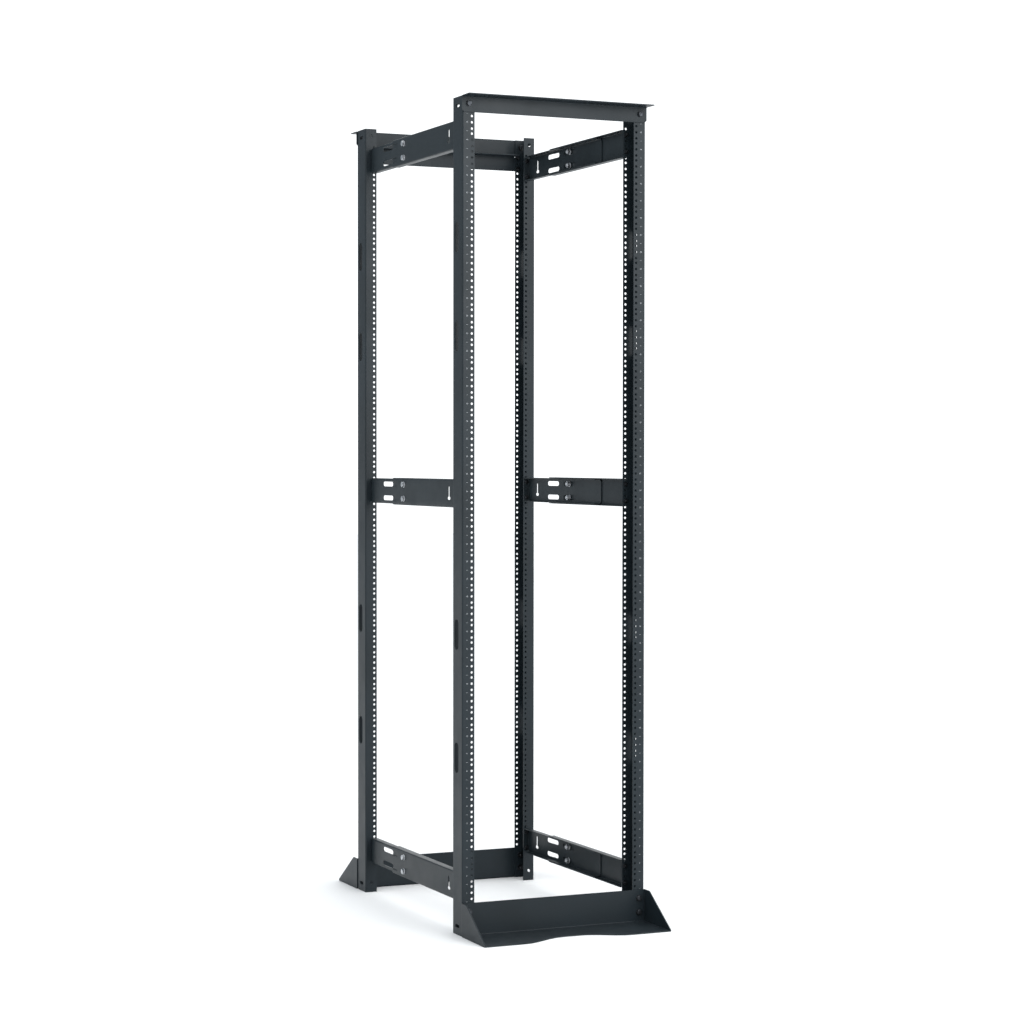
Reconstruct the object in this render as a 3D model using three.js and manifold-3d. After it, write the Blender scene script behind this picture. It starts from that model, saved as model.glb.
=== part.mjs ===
// Open-frame four-post equipment rack, 45 rack units tall, adjustable in depth.
//
// Two upright frames, front and rear, each have a pair of folded C-channel posts, an angle
// across the top and a gusseted foot across the bottom. Six two-piece side braces join them:
// a front half bolts to the front post, a rear half nests inside it, and clamp bolts through
// long slots hold the two halves at the chosen depth.
//
// Units are millimetres. X runs left to right, Y front to rear and Z up. The origin is on
// the floor, at the middle of the rack.

import * as THREE from 'three';
import { mergeVertices } from 'three/addons/utils/BufferGeometryUtils.js';
import Module from 'manifold-3d';

const wasm = await Module();
wasm.setup();

// ---- Driving dimensions ---------------------------------------------------------------

const RACK_UNITS = 45;
const UNIT = 44.45; // height of one rack unit
const UNIT_HOLES = [6.35, 22.225, 38.1]; // hole centres above a unit's lower edge
const UNITS_START = 88.9; // lower edge of the first unit
const HOLE_COLUMN = 232.55; // 465.1 mm between the two hole columns
// The rail holes are round clearance holes. Each one is cut with four sides that enclose the same
// area, because there are 540 of them.
const RAIL_HOLE_DIAMETER = 7.1;
const RAIL_HOLE_SIDE = (RAIL_HOLE_DIAMETER * Math.sqrt(Math.PI)) / 2;

const HEIGHT = 2134;
const HALF_DEPTH = 381; // 762 mm from front face to rear face of the posts
const HALF_WIDTH = 259; // outer face of the posts
const HALF_OPENING = 225.4; // inner edge of the posts' flanges
const POST_DEPTH = 63.5;
const POST_SHEET = 2.5;
const FIT_GAP = 0.3; // between pieces that touch

// Openings in the web of a post, measured from the face of it that looks to the rack's front.
const WEB_SLOT = { length: 78, width: 26, fromFace: 38, heights: [453, 768, 1528, 1780] };
const WEB_END_SLOT = { length: 26, width: 9, fromFace: 32, fromEnd: 22 };

const END_HALF_WIDTH = 261; // top angles and feet stand 2 mm past the posts
const ANGLE_SHEET = 2.5;
const TOP_LEG = 42;
const TOP_FLANGE = 48;
const TOP_CORNER = 6; // chamfer on the lower corners of the top angles
const CROSS_BAR = { top: 2088.8, leg: 43.7, shelf: 38, halfShelf: 224, halfLeg: 241.3 };
const FOOT_SHEET = 3;
const FOOT_LEG = 86;
const FOOT_REACH = 150;
const FOOT_WAIST = 104; // reach of the foot's sole at mid width
const SOLE_CURVE = { flat: 25, full: 150 }; // the sole's front edge is curved between these
const GUSSET_TOP = 30;

const BRACE_LEVELS = [
  { name: 'top', z: 2044.7 },
  { name: 'middle', z: 1127.1 },
  { name: 'bottom', z: 117.5 },
];
const BRACE_SHEET = 2;
const BRACE_FACE = 245; // outer face of the front halves
const BRACE_HEIGHT = 73.5;
const BRACE_LIP_EDGE = 225;
const NEST_GAP = 0.35;
const TAB_RUN = 12;
const LIP_START = 8; // the lips begin this far from the post
const ROW = 19; // slot rows above and below the brace's middle
const SLOT = { length: 76, width: 13 };
const FRONT_HALF_END = 150;
const REAR_HALF_END = -158;
const END_CHAMFER = 8;
const NOTCH_DEPTH = 43;
// Along the rack's depth: the clamp bolts in the middle of the inner slots, and a second pair
// of slots behind them.
const CLAMP_Y = { left: 60, right: 42 };
const WINDOW_Y = { left: 184, right: 149 };
const HANGING_SLOT = { top: 19, bottom: -17, width: 8, footLength: 20, fromPost: 60 };

const CLAMP_BOLT = {
  radius: 4,
  acrossFlats: 13,
  headHeight: 5.5,
  nutHeight: 6.5,
  holeRadius: 4.6,
};

const COLOURS = { frame: 0x34373c, brace: 0x3a3d42, bolt: 0x8c8f93 };

// ---- Solids ---------------------------------------------------------------------------

function toSolid(geometry) {
  geometry.deleteAttribute('normal');
  geometry.deleteAttribute('uv');
  const merged = mergeVertices(geometry, 1e-4);
  return new wasm.Manifold(new wasm.Mesh({
    numProp: 3,
    vertProperties: new Float32Array(merged.attributes.position.array),
    triVerts: new Uint32Array(merged.index.array),
  }));
}

function toGeometry(solid) {
  const mesh = solid.getMesh();
  const geometry = new THREE.BufferGeometry();
  geometry.setAttribute('position', new THREE.BufferAttribute(new Float32Array(mesh.vertProperties), 3));
  geometry.setIndex(new THREE.BufferAttribute(new Uint32Array(mesh.triVerts), 1));
  geometry.computeVertexNormals();
  return geometry;
}

function join(solids) {
  return solids.reduce((whole, solid) => whole.add(solid));
}

function cut(body, cutters) {
  return cutters.reduce((rest, cutter) => rest.subtract(cutter), body);
}

/** A closed outline whose corners, given as [x, y, radius], are rounded. */
function roundedOutline(corners, segments = 3) {
  const points = [];
  corners.forEach(([x, y, radius], index) => {
    const corner = new THREE.Vector2(x, y);
    if (!radius) {
      points.push(corner);
      return;
    }
    const [px, py] = corners[(index + corners.length - 1) % corners.length];
    const [nx, ny] = corners[(index + 1) % corners.length];
    const back = new THREE.Vector2(px, py).sub(corner).normalize();
    const ahead = new THREE.Vector2(nx, ny).sub(corner).normalize();
    const centre = corner.clone().addScaledVector(back, radius).addScaledVector(ahead, radius);
    for (let step = 0; step <= segments; step += 1) {
      const angle = (step / segments) * (Math.PI / 2);
      points.push(centre.clone()
        .addScaledVector(ahead, -radius * Math.cos(angle))
        .addScaledVector(back, -radius * Math.sin(angle)));
    }
  });
  return new THREE.Shape(points);
}

/** An outline with two round ends, its middle at (x, y), longest along the second axis. */
function slotOutline(x, y, length, width, segments = 3) {
  const radius = width / 2;
  const half = length / 2 - radius;
  const shape = new THREE.Shape();
  for (const [end, start] of [[half, 0], [-half, Math.PI]]) {
    for (let step = 0; step <= segments; step += 1) {
      const angle = start + (step / segments) * Math.PI;
      const place = [x + radius * Math.cos(angle), y + end + radius * Math.sin(angle)];
      if (end === half && step === 0) shape.moveTo(...place);
      else shape.lineTo(...place);
    }
  }
  return shape;
}

/** The same, longest along the first axis. */
function levelSlotOutline(x, y, length, width) {
  const upright = slotOutline(0, 0, length, width).getPoints();
  return new THREE.Shape(upright.map((point) => new THREE.Vector2(x - point.y, y + point.x)));
}

function circleOutline(x, y, radius, sides = 8) {
  const points = [];
  for (let side = 0; side < sides; side += 1) {
    const angle = ((side + 0.5) / sides) * Math.PI * 2;
    points.push(new THREE.Vector2(x + radius * Math.cos(angle), y + radius * Math.sin(angle)));
  }
  return new THREE.Shape(points);
}

/** Extrudes an outline drawn in X and Y, upwards. */
function extrudeUp(shape, bottom, top) {
  const geometry = new THREE.ExtrudeGeometry(shape, { depth: top - bottom, bevelEnabled: false });
  geometry.translate(0, 0, bottom);
  return toSolid(geometry);
}

/** Extrudes an outline drawn in Y and Z, along X. */
function extrudeAcross(shape, start, end) {
  const geometry = new THREE.ExtrudeGeometry(shape, { depth: Math.abs(end - start), bevelEnabled: false });
  geometry.rotateX(Math.PI / 2).rotateZ(Math.PI / 2).translate(Math.min(start, end), 0, 0);
  return toSolid(geometry);
}

/** Extrudes an outline drawn in X and Z, along Y. */
function extrudeBack(shape, start, end) {
  const geometry = new THREE.ExtrudeGeometry(shape, { depth: Math.abs(end - start), bevelEnabled: false });
  geometry.rotateX(Math.PI / 2).translate(0, Math.max(start, end), 0);
  return toSolid(geometry);
}

function box(x, y, z) {
  const geometry = new THREE.BoxGeometry(x[1] - x[0], y[1] - y[0], z[1] - z[0]);
  geometry.translate((x[0] + x[1]) / 2, (y[0] + y[1]) / 2, (z[0] + z[1]) / 2);
  return toSolid(geometry);
}

const span = (a, b) => [Math.min(a, b), Math.max(a, b)];

// ---- Posts ----------------------------------------------------------------------------

/** The plan of one post: side is -1 left, 1 right; end is -1 front, 1 rear. */
function postPlan(side, end) {
  const at = (inward, deep, radius = 0) => [
    side * (HALF_WIDTH - inward),
    end * (HALF_DEPTH - deep),
    radius,
  ];
  const flange = HALF_WIDTH - HALF_OPENING;
  const bend = 1.5;
  return roundedOutline([
    at(0, 0, POST_SHEET + bend),
    at(flange, 0),
    at(flange, POST_SHEET),
    at(POST_SHEET, POST_SHEET, bend),
    at(POST_SHEET, POST_DEPTH - POST_SHEET, bend),
    at(flange, POST_DEPTH - POST_SHEET),
    at(flange, POST_DEPTH),
    at(0, POST_DEPTH, POST_SHEET + bend),
  ]);
}

/** The rail holes, three to a unit, through the equipment face of a post. */
function railHoles(side, end) {
  const half = RAIL_HOLE_SIDE / 2;
  const x = span(side * (HOLE_COLUMN - half), side * (HOLE_COLUMN + half));
  const y = span(end * (HALF_DEPTH + 1), end * (HALF_DEPTH - POST_SHEET - 1));
  const holes = [];
  for (let unit = 0; unit < RACK_UNITS; unit += 1) {
    for (const height of UNIT_HOLES) {
      const z = UNITS_START + unit * UNIT + height;
      holes.push(box(x, y, [z - half, z + half]));
    }
  }
  return wasm.Manifold.compose(holes);
}

/** Four upright cable slots in the web, and a short level slot near each of its ends. */
function webOpenings(side, end) {
  const x = [side * (HALF_WIDTH + 1), side * (HALF_WIDTH - POST_SHEET - 1)];
  const frontFace = end < 0 ? -HALF_DEPTH : HALF_DEPTH - POST_DEPTH;
  const upright = WEB_SLOT.heights.map((z) => extrudeAcross(
    slotOutline(frontFace + WEB_SLOT.fromFace, z, WEB_SLOT.length, WEB_SLOT.width), ...x));
  const { length, width, fromFace, fromEnd } = WEB_END_SLOT;
  const level = [fromEnd, HEIGHT - fromEnd].map((z) => extrudeAcross(
    levelSlotOutline(frontFace + fromFace, z, length, width), ...x));
  return [...upright, ...level];
}

function post(side, end) {
  const channel = extrudeUp(postPlan(side, end), 0, HEIGHT);
  return cut(channel, [railHoles(side, end), ...webOpenings(side, end)]);
}

// ---- Top angles and the rear cross bar --------------------------------------------------

/** A folded angle with a level flange along the top; out is where its flange points, 1 or -1. */
function angleProfile(outerFace, out, top, leg, flange) {
  const bend = 1.5;
  const at = (away, down, radius = 0) => [outerFace + out * away, top - down, radius];
  return roundedOutline([
    at(0, 0, ANGLE_SHEET + bend),
    at(flange, 0),
    at(flange, ANGLE_SHEET),
    at(ANGLE_SHEET, ANGLE_SHEET, bend),
    at(ANGLE_SHEET, leg),
    at(0, leg),
  ], 2);
}

function topAngle(end) {
  const face = end * (HALF_DEPTH + FIT_GAP);
  const profile = angleProfile(face, end, HEIGHT, TOP_LEG, TOP_FLANGE);
  const angle = extrudeAcross(profile, -END_HALF_WIDTH, END_HALF_WIDTH);
  const bottom = HEIGHT - TOP_LEG;
  const corners = [-1, 1].map((side) => extrudeBack(new THREE.Shape([
    new THREE.Vector2(side * (END_HALF_WIDTH - TOP_CORNER), bottom - 1),
    new THREE.Vector2(side * (END_HALF_WIDTH + 1), bottom - 1),
    new THREE.Vector2(side * (END_HALF_WIDTH + 1), bottom + TOP_CORNER + 1),
    new THREE.Vector2(side * (END_HALF_WIDTH - TOP_CORNER), bottom),
  ]), face - end, face + end * (ANGLE_SHEET + 1)));
  return cut(angle, corners);
}

/** The bar across the back of the top unit. Its shelf points into the rack, between the posts. */
function rearCrossBar() {
  const { top, leg, shelf, halfShelf, halfLeg } = CROSS_BAR;
  const face = HALF_DEPTH + FIT_GAP;
  const outerFace = face + ANGLE_SHEET;
  const profile = angleProfile(outerFace, -1, top, leg, shelf);
  const angle = extrudeAcross(profile, -halfShelf, halfShelf);
  const bendRelief = 4;
  const ears = box([-halfLeg, halfLeg], [face, outerFace], [top - leg, top - bendRelief]);
  return join([angle, ears]);
}

// ---- Feet -----------------------------------------------------------------------------

/** How far the sole reaches out at a place across its width: full at the ends, less between. */
function soleReach(x) {
  const { flat, full } = SOLE_CURVE;
  const blend = THREE.MathUtils.clamp((Math.abs(x) - flat) / (full - flat), 0, 1);
  const ease = (1 - Math.cos(Math.PI * blend)) / 2;
  return THREE.MathUtils.lerp(FOOT_WAIST, FOOT_REACH, ease);
}

/** What the curve takes off the front of a plain rectangular sole. */
function soleCutOut(end) {
  const steps = 14;
  const reach = SOLE_CURVE.full;
  const outer = end * (HALF_DEPTH + FIT_GAP + FOOT_REACH + 1);
  const points = [new THREE.Vector2(-reach, outer)];
  for (let step = 0; step <= steps; step += 1) {
    const x = -reach + (2 * reach * step) / steps;
    points.push(new THREE.Vector2(x, end * (HALF_DEPTH + FIT_GAP + soleReach(x))));
  }
  points.push(new THREE.Vector2(reach, outer));
  return new THREE.Shape(points);
}

/** One foot: a leg bolted to the posts, a sole on the floor and a gusset at each end. */
function foot(end) {
  const face = HALF_DEPTH + FIT_GAP;
  const bend = 2;
  const at = (out, up, radius = 0) => [end * (face + out), up, radius];
  const profile = roundedOutline([
    at(0, 0, FOOT_SHEET + bend),
    at(FOOT_REACH, 0),
    at(FOOT_REACH, FOOT_SHEET),
    at(FOOT_SHEET, FOOT_SHEET, bend),
    at(FOOT_SHEET, FOOT_LEG),
    at(0, FOOT_LEG),
  ]);
  const gussetOutline = new THREE.Shape([
    [0, FOOT_SHEET + bend], [FOOT_SHEET, 0], [FOOT_REACH, 0], [FOOT_REACH, FOOT_SHEET + 2],
    [GUSSET_TOP, FOOT_LEG], [0, FOOT_LEG],
  ].map(([out, up]) => new THREE.Vector2(end * (face + out), up)));
  const gussets = [-1, 1].map((side) => extrudeAcross(
    gussetOutline, side * END_HALF_WIDTH, side * (END_HALF_WIDTH - FOOT_SHEET)));
  const sheet = extrudeAcross(profile, -END_HALF_WIDTH, END_HALF_WIDTH);
  const cutOut = extrudeUp(soleCutOut(end), -1, FOOT_SHEET + 1);
  return join([cut(sheet, [cutOut]), ...gussets]);
}

// ---- Side braces ----------------------------------------------------------------------

/** The section of a brace half: a web with a lip along its top and bottom edge. */
function braceSection(side, face, halfHeight, z) {
  const bend = 1.2;
  const at = (inward, up, radius = 0) => [side * (face - inward), z + up, radius];
  const lip = face - BRACE_LIP_EDGE;
  return roundedOutline([
    at(0, halfHeight, BRACE_SHEET + bend),
    at(lip, halfHeight),
    at(lip, halfHeight - BRACE_SHEET),
    at(BRACE_SHEET, halfHeight - BRACE_SHEET, bend),
    at(BRACE_SHEET, BRACE_SHEET - halfHeight, bend),
    at(lip, BRACE_SHEET - halfHeight),
    at(lip, -halfHeight),
    at(0, -halfHeight, BRACE_SHEET + bend),
  ], 2);
}

/** The web's end, folded inwards to a tab that bolts against a post's inner flange. */
function braceTab(side, end, face, halfHeight, z) {
  const bend = 1.2;
  const seat = HALF_DEPTH - POST_DEPTH - FIT_GAP;
  const at = (inward, away, radius = 0) => [side * (face - inward), end * (seat - away), radius];
  const plan = roundedOutline([
    at(0, 0, BRACE_SHEET + bend),
    at(0, TAB_RUN),
    at(BRACE_SHEET, TAB_RUN),
    at(BRACE_SHEET, BRACE_SHEET, bend),
    at(face - BRACE_LIP_EDGE, BRACE_SHEET),
    at(face - BRACE_LIP_EDGE, 0),
  ], 2);
  const reach = halfHeight - BRACE_SHEET - bend;
  return extrudeUp(plan, z - reach, z + reach);
}

/** Cuts an outline, drawn in Y and Z, through the web of a brace. */
function webCut(side, face, outline) {
  return extrudeAcross(outline, side * (face + 1), side * (face - BRACE_SHEET - 1));
}

/** Two level slots, one in each row, with their middles at y. */
function slotPair(side, face, y, z, length) {
  return [-1, 1].map((row) => webCut(
    side, face, levelSlotOutline(y, z + row * ROW, length, SLOT.width)));
}

/** A hanging slot, an upright stem on a short level foot, which takes a cable ring's hook. */
function hangingSlot(side, face, y, z) {
  const { top, bottom, width, footLength } = HANGING_SLOT;
  const stem = slotOutline(y, z + (top + bottom) / 2, top - bottom, width);
  const base = levelSlotOutline(y, z + bottom + width / 2, footLength, width);
  return join([webCut(side, face, stem), webCut(side, face, base)]);
}

/** The chamfers on the top and bottom corner of a half's free end, through its lips too. */
function endChamfers(side, tip, inward, halfHeight, z) {
  return [-1, 1].map((row) => extrudeAcross(new THREE.Shape([
    new THREE.Vector2(tip - inward * END_CHAMFER, z + row * (halfHeight + 1)),
    new THREE.Vector2(tip + inward, z + row * (halfHeight + 1)),
    new THREE.Vector2(tip + inward, z + row * (halfHeight - END_CHAMFER)),
    new THREE.Vector2(tip, z + row * (halfHeight - END_CHAMFER)),
    new THREE.Vector2(tip - inward * END_CHAMFER, z + row * halfHeight),
  ]), side * (BRACE_FACE + 1), side * (BRACE_LIP_EDGE - 1)));
}

/** The outer half: it carries the clamp bolts and its free end is notched in both slot rows. */
function braceFrontHalf(sideName, side, z) {
  const face = BRACE_FACE;
  const halfHeight = BRACE_HEIGHT / 2;
  const seat = HALF_DEPTH - POST_DEPTH - FIT_GAP;
  const section = braceSection(side, face, halfHeight, z);
  const body = join([
    extrudeBack(section, LIP_START - seat, FRONT_HALF_END),
    braceTab(side, -1, face, halfHeight, z),
  ]);
  const boltHoles = [-1, 1].map((row) => webCut(
    side, face, circleOutline(CLAMP_Y[sideName], z + row * ROW, CLAMP_BOLT.holeRadius)));
  const cutters = [
    ...boltHoles,
    ...slotPair(side, face, FRONT_HALF_END, z, 2 * NOTCH_DEPTH),
    ...endChamfers(side, FRONT_HALF_END, 1, halfHeight, z),
  ];
  if (side < 0) cutters.push(hangingSlot(side, face, HANGING_SLOT.fromPost - seat, z));
  return cut(body, cutters);
}

/** The inner half: it nests in the outer one, and its slots run along the clamp bolts. */
function braceRearHalf(sideName, side, z) {
  const face = BRACE_FACE - BRACE_SHEET - NEST_GAP;
  const halfHeight = BRACE_HEIGHT / 2 - BRACE_SHEET - NEST_GAP;
  const seat = HALF_DEPTH - POST_DEPTH - FIT_GAP;
  const body = join([
    extrudeBack(braceSection(side, face, halfHeight, z), REAR_HALF_END, seat - LIP_START),
    braceTab(side, 1, face, halfHeight, z),
  ]);
  const cutters = [
    ...slotPair(side, face, CLAMP_Y[sideName], z, SLOT.length),
    ...slotPair(side, face, WINDOW_Y[sideName], z, SLOT.length),
    ...endChamfers(side, REAR_HALF_END, -1, halfHeight, z),
  ];
  if (side > 0) cutters.push(hangingSlot(side, face, seat - HANGING_SLOT.fromPost, z));
  return cut(body, cutters);
}

// ---- Clamp bolts ------------------------------------------------------------------------

/** A hex bolt with its nut, across the two webs. Its head is on the outside of the rack. */
function clampBolt(sideName, side, z) {
  const { radius, acrossFlats, headHeight, nutHeight } = CLAMP_BOLT;
  const y = CLAMP_Y[sideName];
  const underHead = BRACE_FACE + FIT_GAP;
  const nutFace = BRACE_FACE - 2 * BRACE_SHEET - NEST_GAP - FIT_GAP;
  const hexagon = circleOutline(y, z, acrossFlats / Math.sqrt(3), 6);
  return join([
    extrudeAcross(hexagon, side * underHead, side * (underHead + headHeight)),
    extrudeAcross(circleOutline(y, z, radius), side * (underHead + 1), side * (nutFace - 1)),
    extrudeAcross(hexagon, side * nutFace, side * (nutFace - nutHeight)),
  ]);
}

// ---- Assembly -------------------------------------------------------------------------

const rack = new THREE.Group();

function place(name, solid, colour, metalness, roughness) {
  const material = new THREE.MeshStandardMaterial({ color: colour, metalness, roughness });
  const mesh = new THREE.Mesh(toGeometry(solid), material);
  mesh.name = name;
  rack.add(mesh);
}

const placeFrame = (name, solid) => place(name, solid, COLOURS.frame, 0.1, 0.55);
const placeBrace = (name, solid) => place(name, solid, COLOURS.brace, 0.1, 0.55);
const placeBolt = (name, solid) => place(name, solid, COLOURS.bolt, 0.9, 0.35);

const ENDS = [['front', -1], ['rear', 1]];
const SIDES = [['left', -1], ['right', 1]];

for (const [endName, end] of ENDS) {
  placeFrame(`${endName}_top_angle`, topAngle(end));
  placeFrame(`${endName}_foot`, foot(end));
  for (const [sideName, side] of SIDES) {
    placeFrame(`${endName}_${sideName}_post`, post(side, end));
  }
}
placeFrame('rear_cross_bar', rearCrossBar());

for (const { name, z } of BRACE_LEVELS) {
  for (const [sideName, side] of SIDES) {
    placeBrace(`${name}_${sideName}_brace_front`, braceFrontHalf(sideName, side, z));
    placeBrace(`${name}_${sideName}_brace_rear`, braceRearHalf(sideName, side, z));
    placeBolt(`${name}_${sideName}_clamp_bolt_upper`, clampBolt(sideName, side, z + ROW));
    placeBolt(`${name}_${sideName}_clamp_bolt_lower`, clampBolt(sideName, side, z - ROW));
  }
}

export default rack;
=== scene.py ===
# %% [markdown]
# # An open-frame equipment rack
#
# The real thing is a bolted frame of folded steel sheet: four channel-shaped posts full of rail
# holes, an angle across the top of each pair, a gusseted foot under each pair, and six braces
# down the sides. All of it is powder-coated charcoal, and held together by plated hex bolts.
#
# The solid model already has every folded part in its place. This lesson loads it, turns each
# part into a finely edged copy with its remaining holes, adds the bolts and the printed unit
# numbers, and gives everything a real finish.

# %% Load the solid model
import math

import bpy
from mathutils import Matrix, Vector


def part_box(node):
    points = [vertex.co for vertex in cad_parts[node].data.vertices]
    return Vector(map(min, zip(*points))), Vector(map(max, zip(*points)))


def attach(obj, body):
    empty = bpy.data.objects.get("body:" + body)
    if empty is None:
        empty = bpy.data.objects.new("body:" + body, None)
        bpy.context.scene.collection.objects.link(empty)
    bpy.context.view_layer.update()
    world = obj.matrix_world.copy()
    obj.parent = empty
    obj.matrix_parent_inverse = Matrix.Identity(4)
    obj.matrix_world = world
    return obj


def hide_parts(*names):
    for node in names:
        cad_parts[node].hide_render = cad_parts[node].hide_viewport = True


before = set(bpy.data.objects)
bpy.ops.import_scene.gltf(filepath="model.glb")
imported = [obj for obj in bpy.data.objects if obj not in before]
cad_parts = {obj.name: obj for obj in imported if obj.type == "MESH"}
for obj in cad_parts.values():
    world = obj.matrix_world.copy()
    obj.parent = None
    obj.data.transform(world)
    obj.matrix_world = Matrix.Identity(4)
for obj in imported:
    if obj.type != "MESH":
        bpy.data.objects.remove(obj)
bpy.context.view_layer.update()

# %% [markdown]
# ## Dimensions
#
# The solid model is drawn in millimetres and Blender works in metres, so one small factor
# converts them. The sizes that new pieces need are read off the solid parts' own boxes, or are
# the standard ones of a 19-inch rack: a unit is 44.45 mm high and has three holes.

# %% Driving dimensions
MM = 0.001
UNIT = 44.45 * MM
UNIT_HOLES = [height * MM for height in (6.35, 22.225, 38.1)]
UNIT_COUNT = 45
FIRST_UNIT = 88.9 * MM
HOLE_COLUMN = 232.55 * MM
RAIL_HOLE_RADIUS = 3.25 * MM

SIDES = {"left": -1, "right": 1}
ENDS = {"front": -1, "rear": 1}
LEVELS = ("top", "middle", "bottom")

post_low, post_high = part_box("front_left_post")
HEIGHT = post_high.z
POST_DEPTH = post_high.y - post_low.y
HALF_WIDTH = -post_low.x
SHEET = 2.5 * MM
BRACE_SHEET = 2 * MM
FOOT_SHEET = 3 * MM
FIT_GAP = 0.3 * MM
print("posts", round(HEIGHT / MM), "mm tall and", round(POST_DEPTH / MM, 1), "mm deep")

# %% [markdown]
# ## Small helpers
#
# Modelling by script is modelling by hand with the clicks written down. `only` selects one
# object, which is what every operator then acts on. `apply_modifier` adds a modifier, sets it
# and applies it at once, so that the mesh always holds its real shape.

# %% Selecting and applying
def only(piece):
    bpy.ops.object.select_all(action="DESELECT")
    piece.select_set(True)
    bpy.context.view_layer.objects.active = piece


def apply_modifier(piece, kind, **settings):
    only(piece)
    modifier = piece.modifiers.new(kind.title(), kind)
    for name, value in settings.items():
        setattr(modifier, name, value)
    bpy.ops.object.modifier_apply(modifier=modifier.name)


def settle(piece):
    """Moves the object's place into its mesh, so that it sits at the origin."""
    only(piece)
    bpy.ops.object.transform_apply(location=True, rotation=True, scale=True)


def copied(piece, name):
    twin = piece.copy()
    twin.data = piece.data.copy()
    twin.name = name
    bpy.context.scene.collection.objects.link(twin)
    return twin


def joined(pieces, name):
    only(pieces[0])
    for piece in pieces:
        piece.select_set(True)
    if len(pieces) > 1:
        bpy.ops.object.join()
    pieces[0].name = name
    return pieces[0]


# %% [markdown]
# ## Colours and nodes
#
# Colours are easiest to read as the hex values of a paint chart, but a renderer adds up light,
# so one function turns them to linear values. A second one adds a shader node with its settings
# and links, and serves every kind of node.

# %% Colour and node helpers
MIX_COLOUR_INPUTS = (0, 6, 7)
MIX_COLOUR_OUTPUT = 2


def colour(hex_value):
    channels = [int(hex_value[i:i + 2], 16) / 255 for i in (1, 3, 5)]
    linear = [c / 12.92 if c <= 0.04045 else ((c + 0.055) / 1.055) ** 2.4 for c in channels]
    return (*linear, 1.0)


def add_node(tree, kind, inputs=None, **settings):
    made = tree.nodes.new(kind)
    for name, value in settings.items():
        setattr(made, name, value)
    for name, value in (inputs or {}).items():
        if isinstance(value, bpy.types.NodeSocket):
            tree.links.new(value, made.inputs[name])
        else:
            made.inputs[name].default_value = value
    return made


def start_material(name):
    material = bpy.data.materials.new(name)
    material.use_nodes = True
    material.node_tree.nodes.clear()
    return material, material.node_tree


def noise(tree, size, detail=2.0, roughness=0.5):
    """Cloudy noise whose blotches are about `size` metres across."""
    texture = add_node(tree, "ShaderNodeTexNoise", {
        "Vector": add_node(tree, "ShaderNodeTexCoord").outputs["Object"],
        "Scale": 1 / size,
        "Detail": detail,
        "Roughness": roughness,
    })
    return texture.outputs["Fac"]


def remap(tree, value, low, high, to_low, to_high):
    ranged = add_node(tree, "ShaderNodeMapRange", {
        "Value": value,
        "From Min": low,
        "From Max": high,
        "To Min": to_low,
        "To Max": to_high,
    })
    return ranged.outputs["Result"]


def blend_colours(tree, factor, first, second):
    """Mixes two colours, each a colour value or another node's output."""
    mix = add_node(tree, "ShaderNodeMix", data_type="RGBA")
    for index, value in zip(MIX_COLOUR_INPUTS, (factor, first, second)):
        if isinstance(value, bpy.types.NodeSocket):
            tree.links.new(value, mix.inputs[index])
        else:
            mix.inputs[index].default_value = value
    return mix.outputs[MIX_COLOUR_OUTPUT]


def finish_material(tree, surface, bump=None, **constants):
    """Ends a material: linked inputs, an optional bump, and constants set on the shader."""
    shader = add_node(tree, "ShaderNodeBsdfPrincipled", surface)
    for name, value in constants.items():
        shader.inputs[name.replace("_", " ")].default_value = value
    if bump:
        height, distance, strength = bump
        bumped = add_node(tree, "ShaderNodeBump", {
            "Height": height,
            "Distance": distance,
            "Strength": strength,
        })
        tree.links.new(bumped.outputs["Normal"], shader.inputs["Normal"])
    add_node(tree, "ShaderNodeOutputMaterial", {"Surface": shader.outputs["BSDF"]})


# %% [markdown]
# ## The finish: charcoal powder coat
#
# Powder coat is dry polyester powder, charged, sprayed on and baked until it flows. It is a
# plastic skin, so it isn't metallic. Its index of refraction is near 1.5, but the fine powder
# grain scatters some of the shine away, which a slightly lower value stands for. It never
# flows quite flat: it keeps an orange-peel ripple with bumps 1 to 2 mm across, which breaks up
# reflections, and a fine grain from the powder. Handling leaves patches that are a little
# glossier, and dust settles on what faces up.

# %% Powder-coat material
HANDLED_PATCH = 180 * MM
POWDER_GRAIN = 1.1 * MM
PEEL_SPACING = 2.2 * MM
PEEL_DEPTH = 0.05 * MM
DUST_CLOUD = 26 * MM
GLOSS_PATCH = 70 * MM


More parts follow.
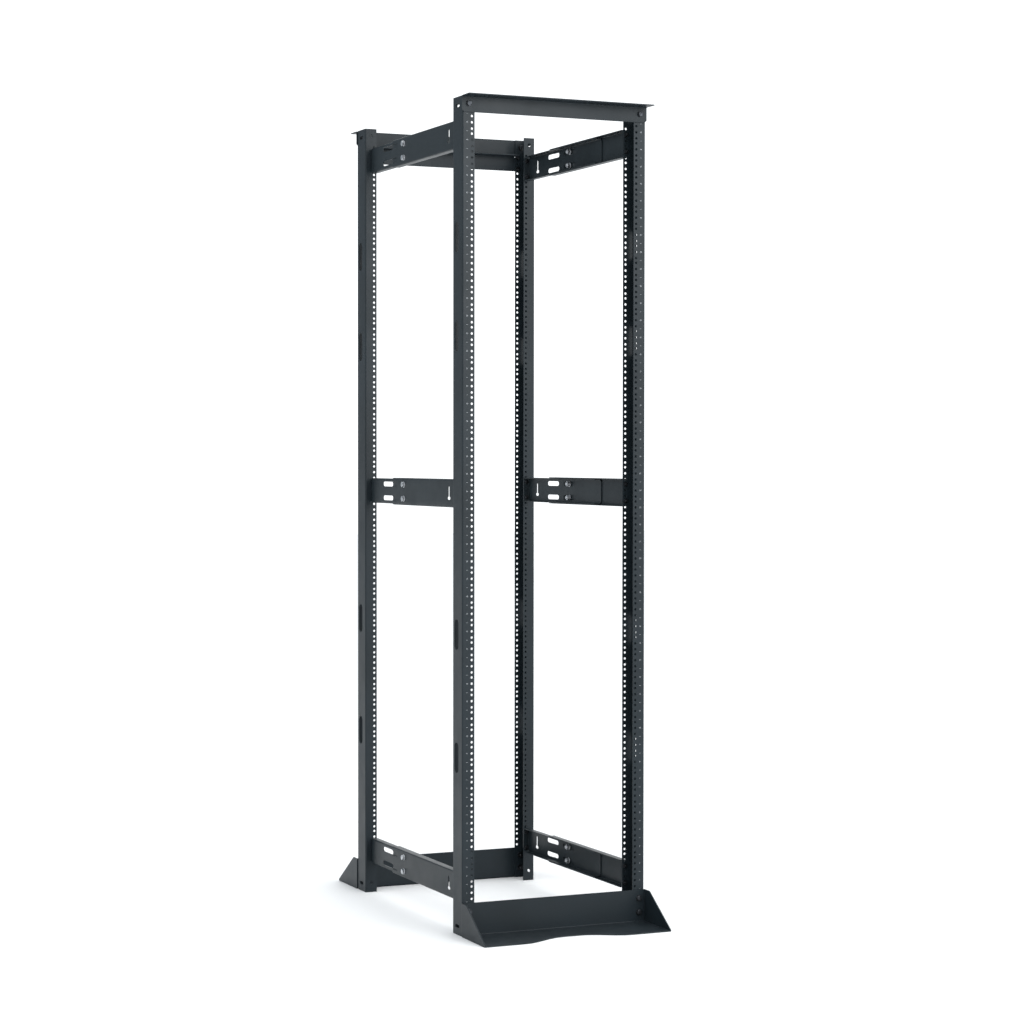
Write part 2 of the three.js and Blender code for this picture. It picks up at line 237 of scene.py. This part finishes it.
def powder_coat(name, dark, light):
    material, tree = start_material(name)
    patches = noise(tree, HANDLED_PATCH, detail=3.0)
    grain = noise(tree, POWDER_GRAIN, detail=2.0, roughness=0.6)
    peel = noise(tree, PEEL_SPACING, detail=1.0)
    mottle = remap(tree, patches, 0.3, 0.7, 0, 1)
    base = blend_colours(tree, mottle, colour(dark), colour(light))
    speckle = remap(tree, grain, 0.62, 0.74, 0, 0.22)
    speckled = blend_colours(tree, speckle, base, colour("#2d353a"))
    normal = add_node(tree, "ShaderNodeNewGeometry").outputs["Normal"]
    upward = add_node(tree, "ShaderNodeSeparateXYZ", {"Vector": normal}).outputs["Z"]
    cover = remap(tree, noise(tree, DUST_CLOUD, detail=4.0), 0.35, 0.75, 0.02, 0.12)
    settled = add_node(tree, "ShaderNodeMath", {
        0: remap(tree, upward, 0.6, 1.0, 0, 1),
        1: cover,
    }, operation="MULTIPLY")
    dusty = blend_colours(tree, settled.outputs["Value"], speckled, colour("#575b5e"))
    gloss = remap(tree, noise(tree, GLOSS_PATCH, detail=3.0), 0.3, 0.7, 0.33, 0.42)
    ripple = add_node(tree, "ShaderNodeMath", {0: peel, 1: grain}, operation="ADD")
    finish_material(
        tree,
        {"Base Color": dusty, "Roughness": gloss},
        bump=(ripple.outputs["Value"], PEEL_DEPTH, 0.5),
        IOR=1.3,
        Metallic=0.0,
    )
    return material


frame_coat = powder_coat("charcoal_powder_coat", "#192024", "#1e262b")
brace_coat = powder_coat("charcoal_powder_coat_braces", "#181f23", "#1c2428")
print("made", frame_coat.name, "and", brace_coat.name)

# %% [markdown]
# ## The finish: zinc-plated and blackened steel
#
# The bolts, nuts and washers are cold-forged steel. The braces' clamp bolts are bright zinc. Their
# brightness is partly real plating and partly a painted highlight: it stands in for the light from
# the left, which the studio's grey screen takes away. The others are zinc under a black
# passivation, which hides them against the coat. Both are metals, so the colour is in the
# reflection. Tumbling in the plating barrel rounds off the shine: the roughness is high and uneven,
# with small dents about 1 mm apart.

# %% Plated-bolt materials
PLATE_CLOUD = 6 * MM
TUMBLE_PATCH = 2 * MM
DENT_SPACING = 1.2 * MM
DENT_DEPTH = 0.06 * MM


def plated_steel(name, dark, light):
    material, tree = start_material(name)
    clouds = remap(tree, noise(tree, PLATE_CLOUD, detail=3.0), 0.35, 0.65, 0, 1)
    base = blend_colours(tree, clouds, colour(dark), colour(light))
    gloss = remap(tree, noise(tree, TUMBLE_PATCH, detail=2.0), 0.3, 0.7, 0.32, 0.5)
    finish_material(
        tree,
        {"Base Color": base, "Roughness": gloss},
        bump=(noise(tree, DENT_SPACING, detail=1.0), DENT_DEPTH, 0.4),
        Metallic=1.0,
    )
    return material


# The bright plate is partly a painted highlight: it is a lit copy of the bolt finish, used for the
# clamp bolts.
bright_zinc_with_painted_highlight = plated_steel("bright_zinc_plate_with_painted_highlight", "#b4b7bb", "#d3d5d8")
black_plate = plated_steel("black_passivated_zinc", "#2c2e31", "#46494d")
print("made", bright_zinc_with_painted_highlight.name, "and", black_plate.name)

# %% [markdown]
# ## The finish: printed ink
#
# The unit numbers are screen-printed in pale grey epoxy ink, a film a few hundredths of a
# millimetre thick. It is matt, and where the mesh of the screen laid it thin the dark coat shows
# through as small darker flecks.

# %% Ink material
SCREEN_MESH = 0.7 * MM


def printed_ink(name):
    material, tree = start_material(name)
    flecks = remap(tree, noise(tree, SCREEN_MESH, detail=2.0), 0.5, 0.7, 0, 0.6)
    base = blend_colours(tree, flecks, colour("#a9adb1"), colour("#5b5f65"))
    finish_material(
        tree,
        {"Base Color": base, "Roughness": remap(tree, flecks, 0, 0.6, 0.6, 0.75)},
        IOR=1.5,
        Metallic=0.0,
    )
    return material


unit_ink = printed_ink("pale_grey_ink")

# %% [markdown]
# ## Finishing a folded part
#
# A folded part's solid is exact but has knife edges. Real laser-cut sheet is deburred, so each
# edge catches a thin line of light. Modelling every part again would only repeat its shape, so a
# copy of the solid is used: its doubled corners are merged and a narrow bevel breaks its sharp
# edges. The bends are already arcs, and smooth shading across angles under 40 degrees rounds
# them.

# %% Finish helper
EDGE_BREAK = 0.35 * MM
DOUBLED_WITHIN = 0.01 * MM


def deburr(piece):
    apply_modifier(
        piece,
        "BEVEL",
        width=EDGE_BREAK,
        segments=1,
        limit_method="ANGLE",
        angle_limit=math.radians(50),
        use_clamp_overlap=False,
    )
    only(piece)
    bpy.ops.object.shade_smooth_by_angle(angle=math.radians(40))
    apply_modifier(piece, "WEIGHTED_NORMAL", keep_sharp=True, weight=100)


def finished_copy(node, material, body):
    piece = copied(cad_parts[node], f"{node}_coated")
    piece.parent = None
    piece.data.materials.clear()
    only(piece)
    bpy.ops.object.mode_set(mode="EDIT")
    bpy.ops.mesh.select_all(action="SELECT")
    bpy.ops.mesh.remove_doubles(threshold=DOUBLED_WITHIN)
    bpy.ops.object.mode_set(mode="OBJECT")
    deburr(piece)
    piece.data.materials.append(material)
    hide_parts(node)
    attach(piece, body)
    return piece


# %% [markdown]
# ## The posts
#
# A post is one strip of sheet, folded into a channel. It has rail holes in both of its flanges,
# so that rails can be fixed from inside too, cable slots in its web and bolt holes at its ends.
# That is nearly three hundred openings, so it is modelled afresh here instead of copied: a box at
# the post's size, whose long folds are bevelled round, is hollowed to a channel by a second box,
# and all the openings are then punched at once.

# %% Channel blank
FOLD_RADIUS = 4 * MM
FOLD_STEPS = 5
CUT_OVERSHOOT = 5 * MM
HOLLOW_REACH = 60 * MM


def block(name, low, high):
    bpy.ops.object.select_all(action="DESELECT")
    bpy.ops.mesh.primitive_cube_add(size=1, location=(Vector(low) + Vector(high)) / 2)
    made = bpy.context.object
    made.name = name
    made.dimensions = Vector(high) - Vector(low)
    settle(made)
    return made


def round_upright_edges(piece, x, radius):
    """Bevels the box's vertical edges that lie at this x."""
    only(piece)
    bpy.ops.object.mode_set(mode="EDIT")
    bpy.ops.mesh.select_mode(type="EDGE")
    bpy.ops.mesh.select_all(action="DESELECT")
    bpy.ops.object.mode_set(mode="OBJECT")
    for edge in piece.data.edges:
        ends = [piece.data.vertices[index].co for index in edge.vertices]
        upright = abs(ends[0].z - ends[1].z) > HEIGHT / 2
        edge.select = upright and abs(ends[0].x - x) < 0.1 * MM
    bpy.ops.object.mode_set(mode="EDIT")
    bpy.ops.mesh.bevel(offset=radius, segments=FOLD_STEPS)
    bpy.ops.object.mode_set(mode="OBJECT")


def channel_blank(side, low, high):
    blank = block("channel", low, high)
    web_x = side * HALF_WIDTH
    round_upright_edges(blank, web_x, FOLD_RADIUS)
    inner_web = side * (HALF_WIDTH - SHEET)
    open_side = side * (HALF_WIDTH - HOLLOW_REACH)
    hollow = block(
        "hollow",
        (min(inner_web, open_side), low.y + SHEET, low.z - CUT_OVERSHOOT),
        (max(inner_web, open_side), high.y - SHEET, high.z + CUT_OVERSHOOT),
    )
    round_upright_edges(hollow, inner_web, FOLD_RADIUS - SHEET)
    apply_modifier(blank, "BOOLEAN", operation="DIFFERENCE", solver="EXACT", object=hollow)
    bpy.data.objects.remove(hollow)
    return blank


# %% [markdown]
# ### Punching the openings
#
# A punch is a rod laid along the axis of its hole. Three rail-hole punches make one unit, and an
# Array modifier repeats them 45 times. Each is long enough to go through both flanges. A slot's
# punch is a rod pulled out to the slot's length: half of its corners are moved along by the
# length that is left over.

# %% Punches
ROUND_SIDES = 12
SLOT_END_SIDES = 20
WEB_PUNCH_LENGTH = 20 * MM
WEB_SLOTS = {"length": 78 * MM, "width": 26 * MM, "from_face": 38 * MM}
WEB_SLOT_HEIGHTS = [height * MM for height in (453, 768, 1528, 1780)]
END_SLOTS = {"length": 26 * MM, "width": 9 * MM, "from_face": 32 * MM, "from_end": 22 * MM}
ALONG_Y, ALONG_Z = 1, 2
BOLT_X = 242 * MM
TOP_BOLT_Z = HEIGHT - 20 * MM
FOOT_BOLT_Z = (27 * MM, 64 * MM)
BOLT_HOLE_RADIUS = 5 * MM


def rod(axis, centre, radius, length, sides=ROUND_SIDES):
    bpy.ops.object.select_all(action="DESELECT")
    bpy.ops.mesh.primitive_cylinder_add(
        vertices=sides,
        radius=radius,
        depth=length,
        location=centre,
        rotation=(math.pi / 2, 0, 0) if axis == "Y" else (0, math.pi / 2, 0),
    )
    settle(bpy.context.object)
    return bpy.context.object


def slot_punch(centre, length, width, along):
    """A punch across the web, whose slot is longest along Y or Z."""
    punch = rod("X", centre, width / 2, WEB_PUNCH_LENGTH, sides=SLOT_END_SIDES)
    stretch = (length - width) / 2
    for vertex in punch.data.vertices:
        offset = vertex.co[along] - centre[along]
        if abs(offset) > DOUBLED_WITHIN:
            vertex.co[along] += math.copysign(stretch, offset)
    return punch


def rail_hole_punch(side, low, high):
    middle = (low.y + high.y) / 2
    length = high.y - low.y + 2 * CUT_OVERSHOOT
    x = side * HOLE_COLUMN
    unit = [rod("Y", (x, middle, FIRST_UNIT + height), RAIL_HOLE_RADIUS, length)
            for height in UNIT_HOLES]
    punch = joined(unit, "rail_hole_punch")
    apply_modifier(
        punch,
        "ARRAY",
        count=UNIT_COUNT,
        use_relative_offset=False,
        use_constant_offset=True,
        constant_offset_displace=(0, 0, UNIT),
    )
    return punch


def other_punches(side, low, high):
    middle = (low.y + high.y) / 2
    length = high.y - low.y + 2 * CUT_OVERSHOOT
    web_x = side * HALF_WIDTH
    rows = (
        (WEB_SLOTS, WEB_SLOT_HEIGHTS, ALONG_Z),
        (END_SLOTS, (END_SLOTS["from_end"], HEIGHT - END_SLOTS["from_end"]), ALONG_Y),
    )
    punches = [slot_punch(Vector((web_x, low.y + slot["from_face"], z)),
                          slot["length"], slot["width"], along)
               for slot, heights, along in rows for z in heights]
    punches += [rod("Y", (side * BOLT_X, middle, z), BOLT_HOLE_RADIUS, length)
                for z in (TOP_BOLT_Z, FOOT_BOLT_Z[0])]
    return joined(punches, "other_punches")


# %% Make the four posts
for end_name in ENDS:
    for side_name, side in SIDES.items():
        node = f"{end_name}_{side_name}_post"
        low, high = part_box(node)
        post = channel_blank(side, low, high)
        post.name = f"{node}_coated"
        for punch in (rail_hole_punch(side, low, high), other_punches(side, low, high)):
            apply_modifier(post, "BOOLEAN", operation="DIFFERENCE", solver="EXACT", object=punch)
            bpy.data.objects.remove(punch)
        deburr(post)
        post.data.materials.append(frame_coat)
        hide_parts(node)
        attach(post, f"{end_name}_frame")
        print(post.name, len(post.data.polygons), "faces")

# %% [markdown]
# ## Top angles, cross bar, feet and braces
#
# These carry no further holes, because bolts cover the ones that they have. They get the same
# deburred edges and the same coat. Each one rides with the frame, front or rear, that its solid
# belongs to.

# %% Finish the folded parts
for end_name in ENDS:
    for part in ("top_angle", "foot"):
        piece = finished_copy(f"{end_name}_{part}", frame_coat, f"{end_name}_frame")
        print(piece.name, len(piece.data.polygons), "faces")
finished_copy("rear_cross_bar", frame_coat, "rear_frame")

for level in LEVELS:
    for side_name in SIDES:
        for end_name in ENDS:
            node = f"{level}_{side_name}_brace_{end_name}"
            finished_copy(node, brace_coat, f"{end_name}_frame")
print("finished", 4 * len(LEVELS), "brace halves")

# %% [markdown]
# ## A hex bolt
#
# All the joints use the same kind of bolt, mostly in size M8: a hexagon head, a plain washer
# under it and a nut on the far side with a few turns of thread showing. It is modelled once,
# pointing up, with the underside of its washer at the origin. The head starts as a six-sided
# cylinder. The real one's top corners are turned off at a slant, so what it shares with a steep
# cone is kept.

# %% Model the bolt head and washer
ACROSS_FLATS = 13 * MM
HEX_RADIUS = ACROSS_FLATS / math.sqrt(3)
HEAD_HEIGHT = 5.3 * MM
WASHER_RADIUS = 8.2 * MM
WASHER_HEIGHT = 1.2 * MM
WASHER_EDGE = 0.3 * MM
SHANK_RADIUS = 4 * MM
CORNER_SLOPE_HEIGHT = 1.1 * MM
CORNER_SLOPE_SPREAD = 3


def cylinder(sides, radius, bottom, top):
    bpy.ops.object.select_all(action="DESELECT")
    bpy.ops.mesh.primitive_cylinder_add(
        vertices=sides,
        radius=radius,
        depth=top - bottom,
        location=(0, 0, (top + bottom) / 2),
    )
    settle(bpy.context.object)
    return bpy.context.object


def select_faces(piece, wanted):
    """Selects the faces whose centre and normal satisfy `wanted`, and enters edit mode."""
    only(piece)
    bpy.ops.object.mode_set(mode="EDIT")
    bpy.ops.mesh.select_mode(type="FACE")
    bpy.ops.mesh.select_all(action="DESELECT")
    bpy.ops.object.mode_set(mode="OBJECT")
    for face in piece.data.polygons:
        face.select = wanted(face.center, face.normal)
    bpy.ops.object.mode_set(mode="EDIT")


def turned_hexagon(bottom, top):
    """A hexagon prism whose outer corners slope down from a round top face."""
    prism = cylinder(6, HEX_RADIUS, bottom, top)
    cone = cylinder(24, ACROSS_FLATS / 2 * 0.97, bottom - MM, top)
    select_faces(cone, lambda centre, normal: normal.z < -0.5)
    bpy.ops.transform.resize(value=(CORNER_SLOPE_SPREAD,) * 3)
    bpy.ops.object.mode_set(mode="OBJECT")
    lift = cylinder(24, HEX_RADIUS * 1.1, bottom - MM, top - CORNER_SLOPE_HEIGHT)
    apply_modifier(lift, "BOOLEAN", operation="UNION", solver="EXACT", object=cone)
    apply_modifier(prism, "BOOLEAN", operation="INTERSECT", solver="EXACT", object=lift)
    bpy.data.objects.remove(cone)
    bpy.data.objects.remove(lift)
    return prism


def washer(bottom, top):
    disc = cylinder(28, WASHER_RADIUS, bottom, top)
    apply_modifier(disc, "BEVEL", width=WASHER_EDGE, segments=1, limit_method="ANGLE")
    return disc


head = turned_hexagon(WASHER_HEIGHT, WASHER_HEIGHT + HEAD_HEIGHT)
bolt_head = joined([head, washer(0, WASHER_HEIGHT)], "bolt_head")
print("bolt head", len(bolt_head.data.polygons), "faces")

# %% [markdown]
# The nut end points down from the far face of the joint. Below the nut the bolt's thread
# shows. A true helix would be hidden by its own small size, so the thread is a stack of rings:
# the end of the shank is cut into 1.25 mm steps, and every second ring is drawn in by the
# thread's depth.

# %% Model the nut and the threaded end
NUT_HEIGHT = 6.5 * MM
THREAD_PITCH = 1.25 * MM
THREAD_DEPTH = 0.45 * MM
THREAD_TURNS = 3


def threaded_end(top, turns):
    stub = cylinder(16, SHANK_RADIUS, top - turns * THREAD_PITCH, top)
    only(stub)
    bpy.ops.object.mode_set(mode="EDIT")
    for cut in range(1, 2 * turns):
        bpy.ops.mesh.select_all(action="SELECT")
        bpy.ops.mesh.bisect(
            plane_co=(0, 0, top - cut * THREAD_PITCH / 2),
            plane_no=(0, 0, 1),
        )
    bpy.ops.object.mode_set(mode="OBJECT")
    for vertex in stub.data.vertices:
        ring = round((top - vertex.co.z) / (THREAD_PITCH / 2))
        if ring % 2 == 0:
            vertex.co.x *= 1 - THREAD_DEPTH / SHANK_RADIUS
            vertex.co.y *= 1 - THREAD_DEPTH / SHANK_RADIUS
    return stub


nut_end = -NUT_HEIGHT - WASHER_HEIGHT
nut = turned_hexagon(nut_end, -WASHER_HEIGHT)
bolt_nut = joined([nut, washer(-WASHER_HEIGHT, 0), threaded_end(nut_end, THREAD_TURNS)], "bolt_nut")
print("nut end", len(bolt_nut.data.polygons), "faces")

# %% [markdown]
# ## Placing the bolts
#
# A joint needs the point where the bolt's axis meets the sheet under its head, the direction the
# head points, and the grip, the thickness it clamps. Both models are copied, turned and moved
# there, and joined to one piece. A bolt that replaces one of the solid model's, a clamp bolt, gets
# the bright plate, which is partly a painted highlight for light from the left. Each one is given a
# slightly different turn, because nobody tightens every hexagon to the same angle.

# %% Bolt placing helper
TURN_STEP = 37
HEXAGON_TURN = 60
bolts = []


def next_turn():
    """A settled but uneven turn, in radians, for the next bolt."""
    return math.radians((len(bolts) + 1) * TURN_STEP % HEXAGON_TURN)


def place_bolt(name, seat, outward, grip, body, node=None, size=1.0):
    seat = Vector(seat)
    outward = Vector(outward)
    aim = outward.to_track_quat("Z", "Y").to_matrix().to_4x4()
    spin = Matrix.Rotation(next_turn(), 4, "Z") @ Matrix.Scale(size, 4)
    top = copied(bolt_head, f"{name}_head")
    top.data.transform(Matrix.Translation(seat) @ aim @ spin)
    under = copied(bolt_nut, f"{name}_nut")
    under.data.transform(Matrix.Translation(seat - outward * grip) @ aim @ spin)
    bolt = joined([top, under], name)
    only(bolt)
    bpy.ops.object.shade_smooth_by_angle(angle=math.radians(35))
    bolt.data.materials.clear()
    # Clamp bolts take the bright plate, which is partly a painted highlight. The rest take the
    # black plate.
    bolt.data.materials.append(bright_zinc_with_painted_highlight if node else black_plate)
    if node:
        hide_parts(node)
    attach(bolt, body)
    bolts.append(bolt)


# %% [markdown]
# A brace's clamp bolts sit on the front half and pass through the rear half's slots. When the
# rack's depth is changed, the rear half slides under their nut washers, so a hair of room is left
# there.

# %% Clamp bolts of the braces
for level in LEVELS:
    for side_name, side in SIDES.items():
        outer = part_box(f"{level}_{side_name}_brace_front")
        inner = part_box(f"{level}_{side_name}_brace_rear")
        web_x = outer[0].x if side < 0 else outer[1].x
        inner_web = (inner[0].x if side < 0 else inner[1].x) - side * BRACE_SHEET
        for row in ("upper", "lower"):
            node = f"{level}_{side_name}_clamp_bolt_{row}"
            low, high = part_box(node)
            centre = (low + high) / 2
            place_bolt(
                f"{node}_plated",
                (web_x, centre.y, centre.z),
                (side, 0, 0),
                abs(web_x - inner_web) + FIT_GAP,
                "front_frame",
                node,
            )
print("clamp bolts", len(bolts))

# %% [markdown]
# Each brace ends in a tab that lies against a post's inner flange. Two bolts through rail
# holes hold it, with their heads on the tab, inside the rack, and their nuts inside the post. A
# rail hole only passes an M6 bolt, so the model is shrunk to three quarters for these.

# %% Tab bolts
TAB_BOLT_SPREAD = UNIT / 2
RAIL_BOLT_SIZE = 6 / 8

for level in LEVELS:
    for side_name, side in SIDES.items():
        for end_name, end in ENDS.items():
            low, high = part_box(f"{level}_{side_name}_brace_{end_name}")
            tab_end = low.y if end < 0 else high.y
            seat_y = tab_end - end * BRACE_SHEET
            for row_name, row in (("lower", -1), ("upper", 1)):
                z = (low.z + high.z) / 2 + row * TAB_BOLT_SPREAD
                place_bolt(
                    f"{level}_{side_name}_{end_name}_tab_bolt_{row_name}",
                    (side * HOLE_COLUMN, seat_y, z),
                    (0, -end, 0),
                    BRACE_SHEET + FIT_GAP + SHEET,
                    f"{end_name}_frame",
                    size=RAIL_BOLT_SIZE,
                )
print("bolts so far", len(bolts))

# %% [markdown]
# The top angles have one bolt at each post and the feet have two. Their heads are outside the
# rack and their nuts inside the channels. The cross bar behind the top unit is fixed through the
# first and third rail holes of that unit.

# %% Frame bolts
def frame_bolt(name, part_sheet, x, z, end_name, size=1.0):
    """A bolt whose head is on a part of this thickness that lies on the posts' outer face."""
    end = ENDS[end_name]
    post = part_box(f"{end_name}_left_post")
    face = post[0].y if end < 0 else post[1].y
    place_bolt(
        name,
        (x, face + end * (part_sheet + FIT_GAP), z),
        (0, end, 0),
        part_sheet + FIT_GAP + SHEET,
        f"{end_name}_frame",
        size=size,
    )


for end_name in ENDS:
    for side_name, side in SIDES.items():
        prefix = f"{end_name}_{side_name}"
        x = side * BOLT_X
        frame_bolt(f"{prefix}_top_bolt", SHEET, x, TOP_BOLT_Z, end_name)
        for number, z in enumerate(FOOT_BOLT_Z, start=1):
            frame_bolt(f"{prefix}_foot_bolt_{number}", FOOT_SHEET, x, z, end_name)

TOP_UNIT = FIRST_UNIT + (UNIT_COUNT - 1) * UNIT
for side_name, side in SIDES.items():
    for number in (0, 2):
        frame_bolt(
            f"rear_{side_name}_cross_bar_bolt_{number + 1}",
            SHEET,
            side * HOLE_COLUMN,
            TOP_UNIT + UNIT_HOLES[number],
            "rear",
            RAIL_BOLT_SIZE,
        )
print("all bolts", len(bolts))
bpy.data.objects.remove(bolt_head)
bpy.data.objects.remove(bolt_nut)

# %% [markdown]
# ## Unit numbers
#
# Each unit's number is printed beside its middle hole, with a short line at the unit's edges.
# Text is typed as a font object and made a mesh. It lies a twentieth of a millimetre in front of
# the flange, which is thicker than real ink but keeps the two surfaces from flickering.

# %% Print the unit numbers
INK_LIFT = 0.05 * MM
NUMBER_SIZE = 5.2 * MM
TICK = (4.5 * MM, 0.5 * MM)
NUMBERS_FROM_HOLES = 13.5 * MM


def upright_turn(facing):
    """The turn that stands a flat shape up and faces it forwards (-1) or backwards (1)."""
    return (math.pi / 2, 0, 0 if facing < 0 else math.pi)


def number_mesh(number, x, y, z, facing):
    bpy.ops.object.select_all(action="DESELECT")
    bpy.ops.object.text_add(location=(x, y, z), rotation=upright_turn(facing))
    text = bpy.context.object
    text.data.body = str(number)
    text.data.size = NUMBER_SIZE
    text.data.align_x = "CENTER"
    text.data.align_y = "CENTER"
    text.data.resolution_u = 2
    bpy.ops.object.convert(target="MESH")
    settle(bpy.context.object)
    return bpy.context.object


def tick_mesh(x, y, z, facing):
    bpy.ops.object.select_all(action="DESELECT")
    bpy.ops.mesh.primitive_plane_add(size=1, location=(x, y, z), rotation=upright_turn(facing))
    tick = bpy.context.object
    tick.scale = (*TICK, 1)
    settle(tick)
    return tick


for end_name, end in ENDS.items():
    for side_name, side in SIDES.items():
        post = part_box(f"{end_name}_{side_name}_post")
        y = (post[0].y if end < 0 else post[1].y) + end * INK_LIFT
        x = side * (HOLE_COLUMN + NUMBERS_FROM_HOLES)
        marks = [
            tick_mesh(x, y, FIRST_UNIT + unit * UNIT, end)
            for unit in range(UNIT_COUNT + 1)
        ]
        marks += [
            number_mesh(unit + 1, x, y, FIRST_UNIT + unit * UNIT + UNIT_HOLES[1], end)
            for unit in range(UNIT_COUNT)
        ]
        ink = joined(marks, f"{end_name}_{side_name}_unit_numbers")
        ink.data.materials.clear()
        ink.data.materials.append(unit_ink)
        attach(ink, f"{end_name}_frame")
print("printed", UNIT_COUNT, "numbers on each post")

# %% [markdown]
# ## Floor, light and camera
#
# A dark object is lit by what it reflects, so the studio is pale all round: a wide floor that
# runs out of sight and a sky just bright enough to turn both white. Steel seen at a slant
# mirrors the far side of the room, so one stretch of sky, behind the rack and to the left, is a
# soft grey screen that keeps the outer webs dark. A large soft lamp lights the front, and a
# weaker one the far left.

# %% Floor
bpy.ops.object.select_all(action="DESELECT")
bpy.ops.mesh.primitive_plane_add(size=60, location=(0, 0, 0))
floor = bpy.context.object
floor.name = "studio_floor"
floor_material, tree = start_material("pale_studio_floor")
clouds = noise(tree, 900 * MM)
floor_tone = blend_colours(tree, clouds, colour("#fafafa"), colour("#fdfdfd"))
finish_material(tree, {"Base Color": floor_tone}, Roughness=0.8)
floor.data.materials.append(floor_material)

# %% Lights and sky
SCREEN_HEADING = (-0.643, 0.766, 0)
SCREEN_FADE = (0.64, 0.92)
world = bpy.data.worlds.new("studio_sky")
world.use_nodes = True
tree = world.node_tree
sky = tree.nodes["Background"]
sky.inputs["Strength"].default_value = 1.32
heading = add_node(tree, "ShaderNodeTexCoord").outputs["Generated"]
flattened = add_node(tree, "ShaderNodeVectorMath", {
    0: heading,
    1: (1, 1, 0),
}, operation="MULTIPLY")
level_heading = add_node(tree, "ShaderNodeVectorMath", {
    0: flattened.outputs["Vector"],
}, operation="NORMALIZE")
toward_screen = add_node(tree, "ShaderNodeVectorMath", {
    0: level_heading.outputs["Vector"],
    1: SCREEN_HEADING,
}, operation="DOT_PRODUCT")
shade = remap(tree, toward_screen.outputs["Value"], *SCREEN_FADE, 0, 1)
sky_tone = blend_colours(tree, shade, colour("#fafdff"), colour("#7f8991"))
tree.links.new(sky_tone, sky.inputs["Color"])
bpy.context.scene.world = world
bpy.context.scene.view_settings.view_transform = "Standard"


def soft_lamp(name, place, target, size, watts):
    """A square lamp, `size` metres across, that faces the target."""
    lamp_data = bpy.data.lights.new(name, "AREA")
    lamp_data.shape = "SQUARE"
    lamp_data.size = size
    lamp_data.energy = watts
    lamp = bpy.data.objects.new(name, lamp_data)
    lamp.location = place
    lamp.rotation_euler = (Vector(target) - Vector(place)).to_track_quat("-Z", "Y").to_euler()
    bpy.context.scene.collection.objects.link(lamp)


soft_lamp("key_lamp", (1.0, -4.6, 2.7), (0, 0, 1.5), 3.0, 120)
soft_lamp("fill_lamp", (-3.5, 1.5, 4.0), (0, 0, 1.6), 2.0, 25)

# %% [markdown]
# The camera stands to the left of the rack, a little over half its height, and looks almost
# level. A long lens from six metres away keeps the posts nearly parallel.

# %% Camera
EYE = Vector((-2.673, -6.129, 1.223))
YAW = math.radians(23.938)
PITCH = math.radians(-1.301)
ROLL = math.radians(0.045)

camera_data = bpy.data.cameras.new("camera")
camera_data.sensor_width = 36
camera_data.lens = 86.52
camera = bpy.data.objects.new("camera", camera_data)
bpy.context.scene.collection.objects.link(camera)
turned = (
    Matrix.Rotation(-YAW, 4, "Z")
    @ Matrix.Rotation(math.pi / 2 + PITCH, 4, "X")
    @ Matrix.Rotation(ROLL, 4, "Z")
)
camera.matrix_world = Matrix.Translation(EYE) @ turned
bpy.context.scene.camera = camera
